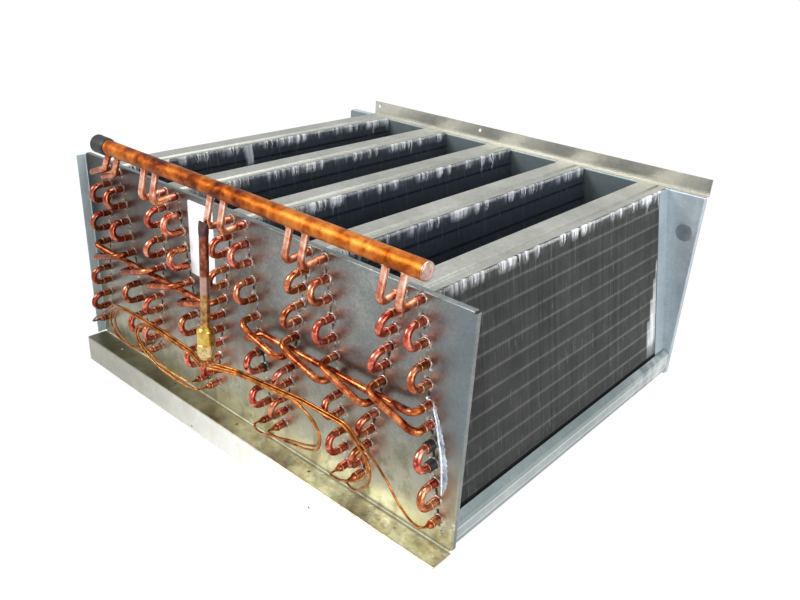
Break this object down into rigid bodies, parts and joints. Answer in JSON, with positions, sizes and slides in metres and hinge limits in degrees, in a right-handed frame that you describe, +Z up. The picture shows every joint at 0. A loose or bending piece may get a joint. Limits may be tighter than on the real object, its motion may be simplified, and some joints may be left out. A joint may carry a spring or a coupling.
{
  "type": "a-coil evaporator",
  "caption": "Zigzag finned-tube evaporator coil between two folded tube sheets, with brazed return bends, a capped suction header, a liquid line and a brass distributor.",
  "frame": {"origin": "middle of the bounding box at its lowest level, the bottom edge of the front lip", "axes": "+X right along the header as seen from the front, +Y from the front tube sheet to the rear one, +Z up"},
  "size_m": [0.783, 0.6929, 0.4206],
  "materials": {
    "galvanised_sheet": "galvanised sheet with spangle, heat and flux stains",
    "galvanised_rail": "pale galvanised strip, slightly dull",
    "fin_aluminium": "thin corrugated fins, dark between their edges",
    "tube_copper": "copper tube, red from brazing heat",
    "bend_copper": "copper return bend, red from brazing heat",
    "crossover_copper": "copper tube, golden orange",
    "header_copper": "mottled orange-brown copper",
    "stub_copper": "pale pink copper",
    "line_copper": "brown copper",
    "distributor_brass": "turned yellow brass",
    "capillary_copper": "thin drawn copper",
    "reducer_copper": "crimped copper",
    "black_rubber": "black rubber",
    "white_label": "blank white sticker",
    "grey_plug": "grey plastic button"
  },
  "bodies": {
    "root": {"front_tube_sheet": "galvanised_sheet", "rear_tube_sheet": "galvanised_sheet", "rear_top_rail": "galvanised_rail", "base_rail_right": "galvanised_rail", "base_rail_left": "galvanised_rail", "rivets": "galvanised_rail", "fin_pack_a": "fin_aluminium", "fin_pack_b": "fin_aluminium", "fin_pack_c": "fin_aluminium", "fin_pack_d": "fin_aluminium", "fin_pack_e": "fin_aluminium", "fin_pack_f": "fin_aluminium", "fin_pack_g": "fin_aluminium", "fin_pack_h": "fin_aluminium", "fin_pack_i": "fin_aluminium", "fin_pack_j": "fin_aluminium", "hairpins_1": "tube_copper", "hairpins_2": "tube_copper", "hairpins_3": "tube_copper", "hairpins_4": "tube_copper", "hairpins_5": "tube_copper", "return_bends_1": "bend_copper", "return_bends_2": "bend_copper", "return_bends_3": "bend_copper", "return_bends_4": "bend_copper", "return_bends_5": "bend_copper", "crossover_ba": "crossover_copper", "crossover_cb": "crossover_copper", "crossover_dc": "crossover_copper", "crossover_ed": "crossover_copper", "crossover_fg": "crossover_copper", "crossover_gh": "crossover_copper", "crossover_hi": "crossover_copper", "crossover_ij": "crossover_copper", "crossover_ae": "crossover_copper", "crossover_jf": "crossover_copper", "top_cap_1": "galvanised_rail", "top_cap_2": "galvanised_rail", "top_cap_3": "galvanised_rail", "top_cap_4": "galvanised_rail", "top_cap_5": "galvanised_rail", "bottom_strips": "galvanised_rail", "suction_header": "header_copper", "header_stubs": "stub_copper", "header_end_cap": "header_copper", "header_plug": "black_rubber", "liquid_line": "line_copper", "distributor": "distributor_brass", "capillary_reducers": "reducer_copper", "capillaries_left": "capillary_copper", "capillaries_right": "capillary_copper", "label": "white_label", "hole_plug_button": "grey_plug"}
  },
  "joints": []
}
